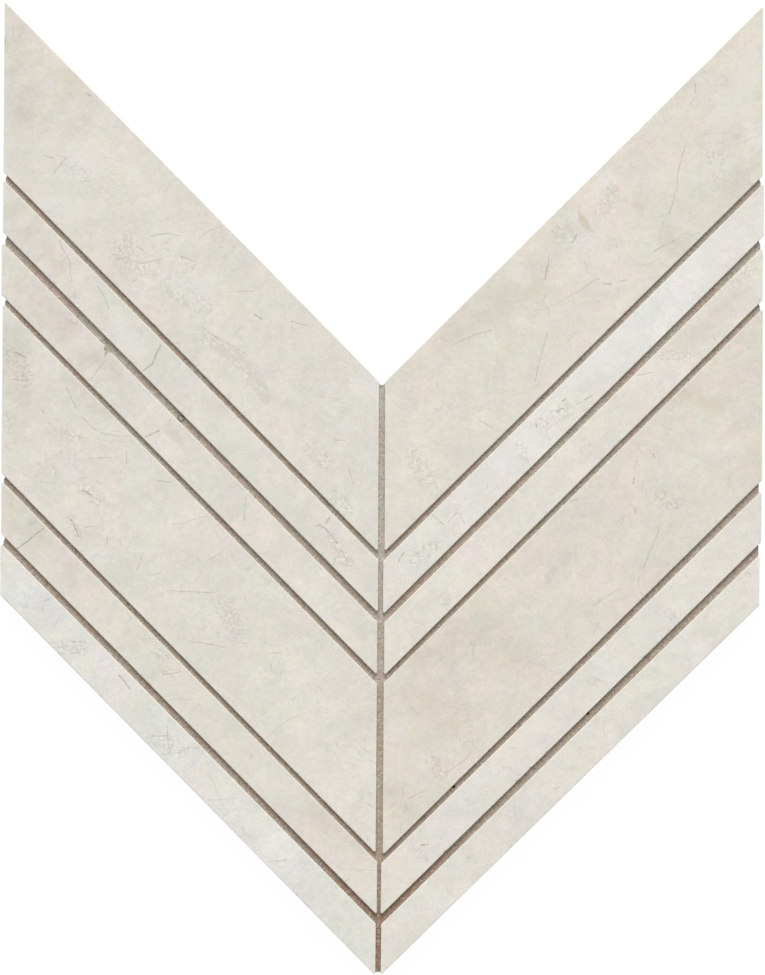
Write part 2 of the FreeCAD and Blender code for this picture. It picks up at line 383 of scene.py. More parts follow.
def yarn(path, width, height):
    """Flat yarn with a six-sided section along a path of (x, y, z): points, then quads with both ends closed."""
    path = np.array(path)
    along = np.gradient(path, axis=0)
    along[:, 2] = 0
    along = unit(along)
    across = np.column_stack([-along[:, 1], along[:, 0], np.zeros(len(path))])
    sides = 6
    rings = []
    for n in range(sides):
        angle = 2 * math.pi * n / sides
        lift = np.array([0, 0, math.sin(angle) * height / 2])
        rings.append(path + across * math.cos(angle) * width / 2 + lift)
    points = np.stack(rings, axis=1).reshape(-1, 3)
    faces = []
    for n in range(len(path) - 1):
        for side in range(sides):
            following = (side + 1) % sides
            start = n * sides
            faces.append((start + side, start + following, start + sides + following, start + sides + side))
    faces.append(tuple(reversed(range(sides))))
    faces.append(tuple(range(len(points) - sides, len(points))))
    return points, faces


def chord_runs(outline, axis, level):
    """Where a line across the outline, at a level of one axis, lies inside it: pairs of the other axis."""
    other = 1 - axis
    crossings = []
    for start, end in zip(outline, np.roll(outline, -1, axis=0)):
        if (start[axis] - level) * (end[axis] - level) < 0:
            share = (level - start[axis]) / (end[axis] - start[axis])
            crossings.append(start[other] + share * (end[other] - start[other]))
    crossings.sort()
    return list(zip(crossings[::2], crossings[1::2]))


def make_net(material):
    """Open net of glass yarn: single wefts held between pairs of warps that cross over them."""
    node = "backing_net"
    low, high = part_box(node)
    middle = (low.z + high.z) / 2
    swing = (high.z - low.z - YARN_HEIGHT) / 2
    outline = outline_of(node, -1)
    points = []
    faces = []

    def lay(path, width, height):
        yarn_points, yarn_faces = yarn(path, width, height)
        start = sum(len(p) for p in points)
        points.append(yarn_points)
        faces.extend(tuple(start + v for v in face) for face in yarn_faces)

    half = NET_PITCH / 2
    reach = 200 * MM
    levels = np.arange(-reach, reach, NET_PITCH) + half
    for y in levels:
        for begin, end in chord_runs(outline, 1, y):
            if end - begin > NET_PITCH:
                xs = np.arange(begin, end, half)
                drift = [0.35 * MM * noise.noise(Vector((x / (40 * MM), y / (40 * MM), 3))) for x in xs]
                lay([(x, y + d, middle) for x, d in zip(xs, drift)], YARN_WIDTH, YARN_HEIGHT * 0.6)
    for x in levels:
        for begin, end in chord_runs(outline, 0, x):
            if end - begin > NET_PITCH:
                ys = np.arange(math.ceil(begin / half) * half, end, half)
                for sign in (-1, 1):
                    path = []
                    for y in ys:
                        step = round(y / half)
                        at_weft = step % 2 != 0
                        turn = 1 if (step // 2) % 2 else -1
                        beside = sign * turn * 0.22 * MM
                        lift = sign * turn * swing * (1 if at_weft else 0.4)
                        drift = 0.35 * MM * noise.noise(Vector((x / (40 * MM), y / (40 * MM), 7)))
                        path.append((x + beside * (1 if at_weft else 0.6) + drift, y, middle + lift))
                    lay(path, YARN_WIDTH * 0.6, YARN_HEIGHT)
    return build("backing_net_yarn", np.vstack(points), faces, material, [node])


def srgb(red, green, blue):
    """Linear colour of a screen colour given by levels from 0 to 255."""
    def linear(level):
        share = level / 255
        return share / 12.92 if share <= 0.04045 else ((share + 0.055) / 1.055) ** 2.4
    return (linear(red), linear(green), linear(blue), 1.0)


def tinted(colour, red, green, blue):
    """A linear colour with its parts scaled."""
    return (colour[0] * red, colour[1] * green, colour[2] * blue, 1.0)


class Graph:
    """Adds nodes to a node tree and links them. An input is a plain value or another node's output."""

    def __init__(self, tree):
        self.tree = tree
        tree.nodes.clear()

    def add(self, kind, inputs, **settings):
        node = self.tree.nodes.new(kind)
        for name, value in settings.items():
            setattr(node, name, value)
        for key, value in inputs.items():
            if isinstance(value, bpy.types.NodeSocket):
                self.tree.links.new(value, node.inputs[key])
            else:
                node.inputs[key].default_value = value
        return node

    def math(self, operation, *values, clamp=False):
        node = self.add("ShaderNodeMath", dict(enumerate(values)), operation=operation, use_clamp=clamp)
        return node.outputs[0]

    def vector(self, operation, *values):
        node = self.add("ShaderNodeVectorMath", dict(enumerate(values)), operation=operation)
        scalar = operation in ("DOT_PRODUCT", "LENGTH", "DISTANCE")
        return node.outputs["Value" if scalar else "Vector"]

    def scaled(self, vector, factor):
        node = self.add("ShaderNodeVectorMath", {0: vector, "Scale": factor}, operation="SCALE")
        return node.outputs["Vector"]

    def noise(self, point, size, detail=2.0, roughness=0.5):
        """Noise from 0 to 1 with features about a size across, in mm."""
        inputs = {"Vector": point, "Scale": 1 / size, "Detail": detail, "Roughness": roughness}
        return self.add("ShaderNodeTexNoise", inputs).outputs[0]

    def bend(self, point, size, reach):
        """The point moved by smooth noise, by up to about a reach, in mm."""
        inputs = {"Vector": point, "Scale": 1 / size, "Detail": 2.0}
        swirl = self.add("ShaderNodeTexNoise", inputs).outputs[1]
        centred = self.vector("SUBTRACT", swirl, (0.5, 0.5, 0.5))
        return self.vector("ADD", point, self.scaled(centred, 2 * reach))

    def ramp(self, value, low, high, to_low=0.0, to_high=1.0):
        """Smooth step of a value from low to high."""
        inputs = {"Value": value, "From Min": low, "From Max": high, "To Min": to_low, "To Max": to_high}
        node = self.add("ShaderNodeMapRange", inputs, interpolation_type="SMOOTHSTEP")
        return node.outputs[0]

    def mix(self, share, first, second, blend="MIX"):
        """Colour between two colours."""
        node = self.add("ShaderNodeMix", {0: share, 6: first, 7: second}, data_type="RGBA", blend_type=blend)
        return node.outputs[2]

    def cell_tints(self, point, size, shade, tint):
        """Greys and faint colours close to white that differ from cell to cell."""
        inputs = {"Vector": point, "Scale": 1 / size}
        cells = self.add("ShaderNodeTexVoronoi", inputs, voronoi_dimensions="2D").outputs["Color"]
        grey = self.add("ShaderNodeSeparateXYZ", {0: cells}).outputs[0]
        grey = self.math("MULTIPLY_ADD", grey, 2 * shade, 1 - shade - tint)
        return self.vector("MULTIPLY_ADD", cells, (2 * tint,) * 3, grey)

    def cell_edges(self, point, size, width):
        """Network of angular lines between cells about a size across, 1 on the line."""
        inputs = {"Vector": point, "Scale": 1 / size}
        cells = self.add("ShaderNodeTexVoronoi", inputs, voronoi_dimensions="2D", feature="DISTANCE_TO_EDGE")
        return self.ramp(cells.outputs["Distance"], width / size, 0.0)

    def hairline(self, point, size, thin):
        """Thin closed lines where noise passes its middle value, 1 on the line."""
        level = self.math("ABSOLUTE", self.math("SUBTRACT", self.noise(point, size), 0.5))
        return self.ramp(level, thin, 0.0)

    def away_from(self, point, routes):
        """Distance in mm from the nearest of some routes. A route with one place is a dot."""
        nearest = None
        for route in routes:
            feet = [(*route[0], 0.0)] if len(route) == 1 else []
            for (x1, y1), (x2, y2) in zip(route, route[1:]):
                run = (x2 - x1, y2 - y1)
                length = run[0] ** 2 + run[1] ** 2
                slope = (run[0] / length, run[1] / length, 0.0)
                start = (x1 * run[0] + y1 * run[1]) / length
                share = self.math("SUBTRACT", self.vector("DOT_PRODUCT", point, slope), start, clamp=True)
                feet.append(self.vector("MULTIPLY_ADD", (*run, 0.0), share, (x1, y1, 0.0)))
            for foot in feet:
                away = self.vector("DISTANCE", point, foot)
                nearest = away if nearest is None else self.math("MINIMUM", nearest, away)
        return nearest

    def within(self, point, areas, firm=0.57):
        """1 inside some areas and 0 beyond them. Each is a width in mm and the route down its middle."""
        inside = 0.0
        for width, route in areas:
            soft = self.ramp(self.away_from(point, [route]), width / 2, firm * width / 2)
            inside = self.math("MAXIMUM", inside, soft)
        return inside


def new_material(name):
    material = bpy.data.materials.new(name)
    material.use_nodes = True
    return material, Graph(material.node_tree)


def place_in_mm(graph):
    """Point on the sheet in millimetres."""
    return graph.scaled(graph.add("ShaderNodeTexCoord", {}).outputs["Object"], 1 / MM)


def facing(graph):
    """The three parts of the surface's normal."""
    normal = graph.add("ShaderNodeNewGeometry", {}).outputs["Normal"]
    return graph.add("ShaderNodeSeparateXYZ", {0: normal}).outputs


# Tone of each strip: screen colour of its ground, share of white patches, and how many hairlines
TONES = {
    "left_stone_1": ((222, 218, 208), 0.30, 0.8),
    "left_stone_2": ((222, 218, 209), 0.15, 0.5),
    "left_stone_3": ((223, 218, 209), 0.10, 0.5),
    "left_stone_4": ((222, 218, 208), 0.15, 0.9),
    "left_stone_5": ((222, 218, 207), 0.10, 0.5),
    "left_stone_6": ((223, 221, 214), 0.65, 0.7),
    "right_stone_1": ((223, 218, 206), 0.30, 0.8),
    "right_stone_2": ((225, 221, 213), 0.80, 0.6),
    "right_stone_3": ((226, 221, 211), 0.35, 0.5),
    "right_stone_4": ((221, 215, 203), 0.10, 0.8),
    "right_stone_5": ((225, 220, 212), 0.45, 0.5),
    "right_stone_6": ((224, 220, 211), 0.40, 0.5),
}

# Kinds of line in the stone: width in mm, strength, and how they tint it
LINES = {
    "faint": (0.85, 0.4, (0.64, 0.62, 0.60)),
    "thin": (0.8, 0.7, (0.60, 0.59, 0.58)),
    "dark": (1.05, 0.9, (0.50, 0.49, 0.48)),
    "light": (1.1, 0.8, (1.08, 1.08, 1.08)),
}

# Broad soft tones in the stone, and how they tint it
TINTS = {
    "deep": (0.915, 0.90, 0.88),
    "bright": (1.03, 1.035, 1.045),
}

# Kinds of patchy area in the stone: strength, and how they tint it
AREAS = {
    "pale": (0.6, (1.05, 1.06, 1.10)),
    "tan": (0.5, (0.92, 0.90, 0.84)),
    "grey": (0.8, (0.88, 0.88, 0.90)),
}

# Kinds of sharp spot in the stone: strength, and how they tint it
SPOTS = {
    "leaf": (0.8, (0.85, 0.83, 0.745)),
    "filled": (0.95, (0.60, 0.56, 0.51)),
}

# What stands out on each strip, by kind. A line is its route on the sheet in mm, and a dot is one place.
# An area or a spot is its width and the route down its middle. "scribbles" are areas crowded with lines.
MARKS = {
    "left_stone_1": {
        "deep": [(32, [(-150, 184), (-145, 151)]), (23, [(-125, 158), (-122, 150)])],
        "bright": [(26, [(-110, 140), (-98, 124)]), (25, [(-80, 97), (-63, 62)]),
            (29, [(-54, 35), (-29, 12)])],
        "dark": [[(-152, 180), (-152, 177.5)], [(-51, 69.8), (-48.4, 68)],
            [(-119.4, 158), (-117.3, 157)], [(-65.4, 96.8)]],
        "thin": [[(-127, 132.6), (-129.6, 128.8), (-131.8, 126)], [(-136.3, 133), (-132, 132)],
            [(-73.5, 100.3), (-70, 103), (-64.8, 105.2)],
            [(-93, 101), (-90, 101.8), (-86, 102.2), (-81.5, 101.3)], [(-98.6, 97), (-95.8, 95.3)],
            [(-106.5, 91.7), (-102, 92.5)], [(-98, 90), (-93.5, 90.9), (-89, 91.6)],
            [(-89, 97.3), (-86, 98.5)], [(-81, 92.8), (-76.7, 91.6)], [(-100.2, 82.6), (-98.4, 83.7)],
            [(-57.5, 79.2), (-51.7, 79.2)], [(-36.5, 67.2), (-29.7, 65.5)],
            [(-13.1, 8.5), (-11.3, 2.3)], [(-18.8, 19.7), (-14.8, 19.7)],
            [(-72, 64.7), (-66.3, 60.6), (-57, 55.5), (-53.7, 53.3)], [(-34.5, 44.2), (-33, 43)],
            [(-131, 157)], [(-115.3, 141.7)]],
        "faint": [[(-25, 37.5), (-17, 36)]],
        "light": [[(-64, 78.2), (-58, 78.2)], [(-79.5, 64), (-73, 62.5)], [(-51, 51), (-44, 51)]],
        "scribbles": [(17, [(-103, 95), (-80, 87)]), (9, [(-85, 80), (-71, 73)]),
            (7, [(-70, 60), (-56, 50), (-46, 37)]), (9, [(-28, 16), (-22, 11)]),
            (8, [(-18, -3), (-14, -8)]), (8, [(-128, 132), (-118, 124)])],
        "pale": [(18, [(-121, 133), (-118, 129)]), (11, [(-135, 112), (-115, 112)]),
            (15, [(-93, 95), (-74, 78)])],
        "tan": [(8, [(-134, 166), (-125, 164)]), (6, [(-21, 51), (-17, 45)])],
        "grey": [(6, [(-67, 58), (-55, 50), (-46, 37)])],
    },
    "left_stone_2": {
        "deep": [(25, [(-151, 113), (-130, 90)])],
        "dark": [[(-88.7, 57.2), (-90.9, 53), (-92, 49.7), (-95.6, 47.2)],
            [(-20.5, -11), (-22.2, -13.6)],
            [(-26.2, -14.8), (-24.5, -14.2), (-22.2, -15.6), (-21, -17.3), (-17.5, -21.4)]],
        "thin": [[(-129.6, 99), (-127.8, 94.7), (-125.6, 91.5), (-124.6, 82.7)],
            [(-114, 80.5), (-111, 76), (-109.5, 72)], [(-16.3, -23.6), (-12.9, -29.4)],
            [(-18.6, -27.5), (-18.6, -30.4)], [(-108, 69.5)], [(-43.5, 2.5)]],
        "light": [[(-75.8, 38), (-75, 31.5), (-73.6, 27)]],
        "scribbles": [(5, [(-124.5, 77), (-122, 71)]), (7, [(-20, -20), (-13, -30)])],
        "pale": [(9, [(-107, 70), (-97, 55)])],
    },
    "left_stone_3": {
        "deep": [(23, [(-151, 88), (-126, 64)]), (17, [(-117, 52), (-108, 47)])],
        "bright": [(17, [(-38, -34), (-24, -48)])],
        "dark": [[(-94.2, 20.5), (-91.3, 22), (-89, 23)]],
        "filled": [(1.5, [(-109.9, 54.6), (-110.6, 54)]), (0.8, [(-110.6, 54), (-111.2, 52.8)])],
        "thin": [[(-111.2, 51.1), (-111.8, 49.9), (-113.6, 47.7), (-115.2, 45.3), (-117, 43)],
            [(-85.6, 25.5), (-84.4, 27.8)], [(-54.3, -3.5), (-54.5, -8.6), (-54.8, -12.6)],
            [(-10.4, -34.6), (-8.6, -37.4)], [(-101, 33)]],
        "scribbles": [(5, [(-125, 68), (-121.5, 66)])],
        "grey": [(6, [(-86, 24), (-80, 18)])],
    },
    "left_stone_4": {
        "deep": [(26, [(-149, 62), (-144, 23)]), (16, [(-125, 44), (-107, 30)])],
        "bright": [(9, [(-66, -17), (-64, -18)]), (41, [(-33, -73), (-19, -121)])],
        "dark": [[(-124.3, -12.5), (-123, -15), (-121.3, -19.4)], [(-14, -56.8), (-10.8, -56.8)],
            [(-146.9, 54), (-143, 52.3)], [(-119.6, -1), (-116, -3)]],
        "thin": [[(-148, 43.3), (-141.7, 42.5)], [(-135.9, 31), (-135.3, 29.3)],
            [(-126.2, 40), (-125, 37.2), (-122.1, 31.5)],
            [(-119.7, 28), (-116.3, 24.6), (-112.8, 22.3), (-106, 20.8), (-101.5, 20.9)],
            [(-116.8, 11.9), (-108.3, 12.1)], [(-102.1, 15.8), (-102.1, 10)],
            [(-136.6, 2.4), (-130.6, 2)], [(-120.9, 3.7), (-118.6, 4)], [(-114, 2.7), (-111.8, 1.3)],
            [(-118.5, -15.7), (-115.6, -15.3)], [(-109.7, -19.4), (-109.7, -22.3)],
            [(-95.5, -25.6), (-96, -28.5), (-98, -32.8)],
            [(-92.5, -34.8), (-90.2, -34.5), (-88, -33.3)], [(-89.4, 3.3), (-84.3, 2.5)],
            [(-68.7, -28.3), (-64, -26)], [(-85.6, -41), (-78.2, -41.2), (-66.2, -41.7)],
            [(-76.5, -61), (-69.7, -62), (-62.3, -63.7)], [(-44.8, -65.8), (-39.7, -65.8)],
            [(-43.7, -70), (-43.5, -73)], [(-35.6, -83.4), (-34.5, -85)], [(-3.7, -67.5), (-2.6, -66)],
            [(-6.5, -103.7), (-4.2, -105.5)], [(-4.8, -125.3), (-3, -127)], [(-18, -75.4)]],
        "faint": [[(-84, -14.2), (-79.5, -13.9), (-73.8, -11.9), (-69.8, -11)],
            [(-46, -100.2), (-41.3, -96), (-36.7, -92.5), (-33.3, -90.8)]],
        "light": [[(-135.8, 11), (-135.8, 15.6), (-126.8, 15.8)]],
        "scribbles": [(10, [(-147, 53), (-143, 44)]), (4, [(-133, 25), (-131, 22)]),
            (5, [(-127, 22), (-121, 20)]), (7, [(-119, -1), (-113, -5)]),
            (6, [(-123.5, -13), (-121.5, -19)]), (9, [(-63, -46), (-56, -60)])],
        "tan": [(5, [(-23.5, -103), (-21, -105)])],
    },
    "left_stone_5": {
        "deep": [(25, [(-150, -5), (-123, -32)]), (20, [(-26, -126), (-6, -146)])],
        "dark": [[(-135.2, -16.3), (-139.2, -19.4), (-142, -21.7), (-146, -24.8)]],
        "thin": [[(-87, -74.8), (-84, -74.3), (-79.9, -73.3)], [(-51.3, -106), (-51.3, -108)],
            [(-13.4, -156.8), (-11.7, -156)]],
        "faint": [[(-83.7, -84.5), (-75.7, -84.5)], [(-8.9, -152.6), (-2, -152.3)]],
        "light": [[(-92.4, -63.6), (-88, -66), (-85.6, -68)]],
        "scribbles": [(5, [(-91, -64), (-86, -68)]), (5, [(-86, -74), (-81, -74)])],
    },
    "left_stone_6": {
        "bright": [(26, [(-74, -108), (-35, -149)])],
        "dark": [[(-104.6, -74.8), (-102.6, -77), (-100.3, -80.2)]],
        "thin": [[(-134.7, -45.3), (-132.5, -44.7)], [(-136, -47.8), (-135.3, -49.8)],
            [(-124.4, -61.5), (-118, -61.9)], [(-129.6, -63.7), (-126.2, -63.5)],
            [(-129, -66.6), (-126, -66.6)], [(-124.4, -66.2), (-120.5, -66)],
            [(-85.2, -95), (-84.9, -100), (-84, -105.7)], [(-91.5, -99.2), (-84.6, -99)],
            [(-87.4, -106.5), (-80.6, -105.7), (-76.6, -103.8), (-72, -103.9)],
            [(-43.6, -149.3), (-36.8, -148.5)], [(-133, -53.8)]],
        "faint": [[(-68.6, -114), (-66.3, -118), (-64, -124.8), (-60.4, -130)],
            [(-69, -124.8), (-57, -123.8)]],
        "light": [[(-150, -30), (-147, -29.5)]],
        "scribbles": [(8, [(-130, -64), (-120, -64)]), (8, [(-90, -100), (-80, -105)])],
    },
    "right_stone_1": {
        "deep": [(25, [(26, 61), (42, 73), (63, 86)]), (16, [(139, 121), (147, 130)]),
            (16, [(102, 114), (120, 98)])],
        "bright": [(29, [(127, 153), (140, 169)]), (16, [(13, 17), (8, 3)])],
        "dark": [[(88.6, 83.2), (91.4, 83)], [(86.6, 85)], [(66.4, 91), (65.5, 88.1), (65.1, 84.9)],
            [(77.5, 102.5), (76, 99.5)], [(132.2, 135.8)], [(130.2, 133.8)], [(122.8, 112)]],
        "thin": [[(66.4, 94.4), (66.4, 91)], [(66, 63.5), (64.5, 57.8), (62.2, 48.6), (61.4, 44)],
            [(86.2, 85), (84, 83.8), (80.3, 81.2), (75, 78)],
            [(43.5, 64), (38.5, 63), (34, 61), (28, 58)], [(38.9, 28.2), (42.9, 26.2), (44.1, 25.4)],
            [(120.8, 138), (119, 132), (117.8, 127), (117.5, 121), (116.5, 117), (114.5, 111)],
            [(125, 163.5), (124.7, 160)], [(123.9, 158), (123, 155)],
            [(108.6, 96.2), (112.9, 98.7), (116.8, 100.6)], [(94, 83.8), (97.7, 84.8)], [(89, 125.5)],
            [(19.6, 10.5)]],
        "faint": [[(75, 78), (66, 73), (61, 72)], [(65.2, 79), (64.3, 76), (66.5, 72), (66.7, 67)],
            [(120.3, 101.3), (126.6, 104.1)], [(102, 90.1), (107.7, 91.5), (110.6, 93)],
            [(112.5, 108), (111, 101)], [(92.8, 101.5), (94, 97.5)],
            [(20.9, 4.7), (22, 3), (22.3, 0.7)], [(136, 167), (139, 163)], [(145.5, 129), (147, 123)],
            [(110, 142.5), (106, 139)]],
        "light": [[(60, 98.5), (64.5, 96)], [(73.5, 103.5), (75, 101)]],
        "scribbles": [(9, [(133, 139), (133, 127)]), (10, [(13, 14), (18, 5)]),
            (7, [(70, 104), (76, 101)]), (8, [(88, 112), (92, 120)])],
        "pale": [(10, [(147, 174), (143, 155), (133, 147)]), (9, [(133, 140), (131, 129)]),
            (6, [(88, 86), (92, 82)]), (7, [(53, 88), (58, 86)])],
        "tan": [(12, [(43, 70), (52, 60)]), (8, [(60, 80), (70, 80)])],
        "leaf": [(1.3, [(78.4, 112), (79, 110.6)]), (2.5, [(79.1, 110.2), (79.5, 109.2)]),
            (3.6, [(79.9, 108.5), (80.6, 107.4)]), (2.6, [(81.1, 106.7), (81.9, 105.8)]),
            (1.4, [(82.2, 105.5), (83.6, 104.4)])],
    },
    "right_stone_2": {
        "bright": [(41, [(49, 22), (122, 91)])],
        "dark": [[(70.3, 31.5), (71.6, 32.9), (73, 33)], [(72.5, 36), (73.4, 37)],
            [(81.4, 36.6), (84, 38.3)], [(9.1, -25), (7.1, -28.4)], [(61.7, 26.8), (61.9, 25.6)],
            [(36.3, -5.5)]],
        "thin": [[(75, 34.5), (77.5, 33.3)], [(78, 34.9), (80, 35.5)],
            [(20.6, -10.1), (22.6, -11.5), (24.9, -13.8)],
            [(26.6, -12.9), (30.3, -9.3), (31.7, -9.5), (33.5, -13.5)], [(19.7, -21.3), (20.3, -23.3)],
            [(17.4, -21.8), (16.8, -23.8)], [(22, -21.8), (22.3, -24)], [(13.7, -26.1), (15.1, -25)],
            [(42.1, 2.5), (42.6, 0.7)], [(30.3, -7.8), (29.5, -10)], [(128.1, 91)]],
        "faint": [[(76.5, 31), (73, 29), (66, 24.5)], [(55.5, 17), (58, 17.6), (57.4, 15.6)]],
        "scribbles": [(7, [(62, 26), (74, 33)]), (6, [(55, 18), (57, 14)]),
            (7, [(21, -22), (14, -28)])],
        "pale": [(11, [(75, 45), (100, 65)]), (10, [(118, 88), (140, 105)]),
            (9, [(46, 12), (60, 24)])],
    },
    "right_stone_3": {
        "deep": [(20, [(118, 58), (141, 80)])],
        "bright": [(20, [(29, -34), (43, -22)])],
        "thin": [[(102.9, 46.6), (108, 47.7)], [(132.4, 62.6), (133.2, 61)],
            [(24.9, -45.5), (27.2, -45.5)], [(122.3, 57.4)], [(95.4, 27.5)], [(16, -53.5)]],
        "light": [[(106, 50.6), (107.6, 48.8)], [(34, -48), (37, -47.5)]],
        "scribbles": [(5, [(145, 89), (148, 89)]), (6, [(112, 55), (122, 55)])],
    },
    "right_stone_4": {
        "deep": [(19, [(118, 43), (134, 36)]), (29, [(15, -64), (43, -56), (55, -68)]),
            (26, [(9, -84), (32, -91)]), (20, [(5, -121), (11, -130)])],
        "bright": [(26, [(105, 4), (141, 18)]), (25, [(64, -47), (86, -29)])],
        "dark": [[(101.2, 5.4), (100.9, 3.2)], [(112.6, -2.6)], [(22.5, -114.6)],
            [(101.8, -6.5), (101.7, -8.5)]],
        "thin": [[(37.8, -61.7), (37, -63.6), (37.3, -66)], [(83.8, -39.4)],
            [(111.6, -14), (109.6, -19.7), (107.9, -23.7), (105, -30.9)],
            [(103.6, -33.7), (103.1, -37.7)], [(103.8, -40.3), (105.9, -42)],
            [(95.2, -39.1), (89.2, -43.1), (85.2, -46)], [(108.7, 15.4), (109.6, 13.7)],
            [(76, -4), (78.3, -3.4)], [(12, -123.7), (15.8, -121.4), (19.8, -119.9)],
            [(37, -104.6), (34.1, -108), (28.9, -111.7)], [(9.2, -120), (9.5, -122.5)],
            [(10.6, -125), (10.9, -127.5)], [(75.2, -13.7)], [(56.9, -45.7)], [(40.7, -76)]],
        "faint": [[(102.3, 14), (101.5, 8.6)], [(105, 4.6), (104.4, 0)],
            [(137.5, 52.3), (140.9, 53.8), (147.2, 58.3)], [(85.2, -57.7), (87.5, -52.6)],
            [(9.2, -133), (8.6, -137)], [(4, -127.4), (7.2, -124.6)]],
        "light": [[(104, 17.5), (107.5, 14.5)], [(38, -92), (37.8, -96.5)], [(8.3, -102), (7.6, -114)],
            [(24, -57), (26.5, -54.5)]],
        "scribbles": [(7, [(21, -109), (25, -113)]), (5, [(105, 17), (108, 15)]),
            (8, [(112, -2), (118, -5)])],
        "tan": [(7, [(129, 36), (136, 34)]), (5, [(41, -54), (43, -57)]), (6, [(139, 24), (146, 28)])],
        "grey": [(2.6, [(28.6, -69), (28.2, -74), (28.6, -80)]), (4, [(66, -35), (74, -27)])],
    },
    "right_stone_5": {
        "dark": [[(17, -142.4), (19.3, -142)]],
        "faint": [[(51.3, -103.3), (54.8, -103.2)]],
        "thin": [[(86.4, -75.2), (88, -75.8)], [(14.9, -140.6)], [(93.7, -63.4)], [(130.5, -26.6)]],
        "scribbles": [(5, [(14, -144), (18, -147)]), (5, [(85, -76), (88, -77)]),
            (4, [(115, -49), (117, -50)])],
    },
    "right_stone_6": {
        "thin": [[(69.7, -119.2), (72, -118.6)], [(35, -147.3), (36.7, -147.3)], [(137, -43.1)], [(146.3, -32), (148, -33)]],
        "faint": [[(35.2, -148.4), (39.8, -149.5)], [(89.7, -92), (89.6, -97)],
            [(54.2, -126), (54.6, -131)]],
        "light": [[(49.5, -137.5), (51.8, -137.5)]],
    },
}


def marble_ground(graph, point, tone, pale, lines, crowded):
    """Colour and relief of the plain stone: beige with warm and greenish clouds, angular patches, faint
    lines, which crowd together in places, and fine grain."""
    base = srgb(*tone)
    flowing = graph.bend(point, 34, 9)
    curled = graph.bend(point, 7, 2.4)
    jagged = graph.bend(point, 2.2, 0.8)

    clouds = graph.ramp(graph.noise(flowing, 24, 3), 0.36, 0.64)
    colour = graph.mix(clouds, tinted(base, 0.992, 0.998, 0.985), tinted(base, 1.009, 0.987, 0.985))
    shade = graph.ramp(graph.noise(curled, 10, 4, 0.6), 0.4, 0.75)
    colour = graph.mix(graph.math("MULTIPLY", shade, 0.7), colour, tinted(base, 0.95, 0.945, 0.935))
    light = graph.ramp(graph.noise(graph.vector("ADD", flowing, (71, 13, 5)), 15, 3), 0.52, 0.72)
    colour = graph.mix(graph.math("MULTIPLY", light, 0.6), colour, tinted(base, 1.03, 1.035, 1.045))
    patches = graph.ramp(graph.noise(graph.vector("ADD", flowing, (5, 57, 31)), 30, 4), 0.66 - 0.3 * pale, 0.74)
    white = graph.math("MULTIPLY", patches, 0.35 + 0.5 * pale)
    colour = graph.mix(white, colour, srgb(230, 228, 225))
    for size, shade, tint in ((17, 0.016, 0.010), (7, 0.014, 0.014), (3, 0.015, 0.011)):
        colour = graph.mix(1.0, colour, graph.cell_tints(jagged, size, shade, tint), "MULTIPLY")

    crowd = graph.ramp(graph.noise(graph.vector("ADD", point, (9, 3, 77)), 15, 2), 0.48, 0.62)
    crowd = graph.math("MAXIMUM", graph.math("MULTIPLY", crowd, lines), crowded)
    gaps = graph.noise(graph.vector("ADD", point, (31, 8, 2)), 2.6, 2)
    broken = graph.ramp(gaps, 0.48, 0.6)
    where = graph.math("MULTIPLY", crowd, broken)
    busy = graph.math("MULTIPLY", graph.ramp(gaps, 0.56, 0.44, 0.45, 1.0), crowded)
    level = graph.vector("MULTIPLY", jagged, (0.7, 1.3, 1))
    beside = graph.vector("ADD", level, (0.3, 0.5, 0))
    scribble = graph.math("MULTIPLY", graph.cell_edges(level, 4.5, 0.32), where)
    crumbs = graph.math("MULTIPLY", graph.cell_edges(beside, 2.6, 0.3), busy)
    crumbs = graph.math("MULTIPLY", crumbs, 0.6)
    scribble = graph.math("MAXIMUM", graph.math("MULTIPLY", scribble, 0.7), crumbs)
    glint = graph.math("MULTIPLY", graph.cell_edges(beside, 4.5, 0.32), where)
    long_line = graph.hairline(curled, 19, 0.012)
    rare = graph.ramp(graph.noise(graph.vector("ADD", point, (3, 41, 7)), 9, 2), 0.52, 0.62)
    long_line = graph.math("MULTIPLY", graph.math("MULTIPLY", long_line, rare), 0.35)
    scribble = graph.math("MAXIMUM", scribble, long_line)
    colour = graph.mix(glint, colour, tinted(base, 1.08, 1.08, 1.08))
    colour = graph.mix(scribble, colour, tinted(base, 0.76, 0.75, 0.74))

    specks = graph.ramp(graph.noise(graph.vector("ADD", point, (17, 5, 63)), 1.1, 1), 0.68, 0.76)
    colour = graph.mix(graph.math("MULTIPLY", specks, 0.8), colour, tinted(base, 1.05, 1.05, 1.05))
    coarse = graph.ramp(graph.noise(point, 2.2, 2, 0.6), 0.25, 0.75, 0.968, 1.032)
    grain = graph.ramp(graph.noise(point, 0.75, 2, 0.65), 0.25, 0.75, 0.955, 1.045)
    colour = graph.mix(1.0, colour, graph.math("MULTIPLY", coarse, grain), "MULTIPLY")
    crystals = graph.ramp(graph.noise(jagged, 1.3, 3, 0.7), 0.36, 0.64, 0.90, 1.07)
    colour = graph.mix(crowded, colour, graph.mix(1.0, colour, crystals, "MULTIPLY"))
    return colour, grain


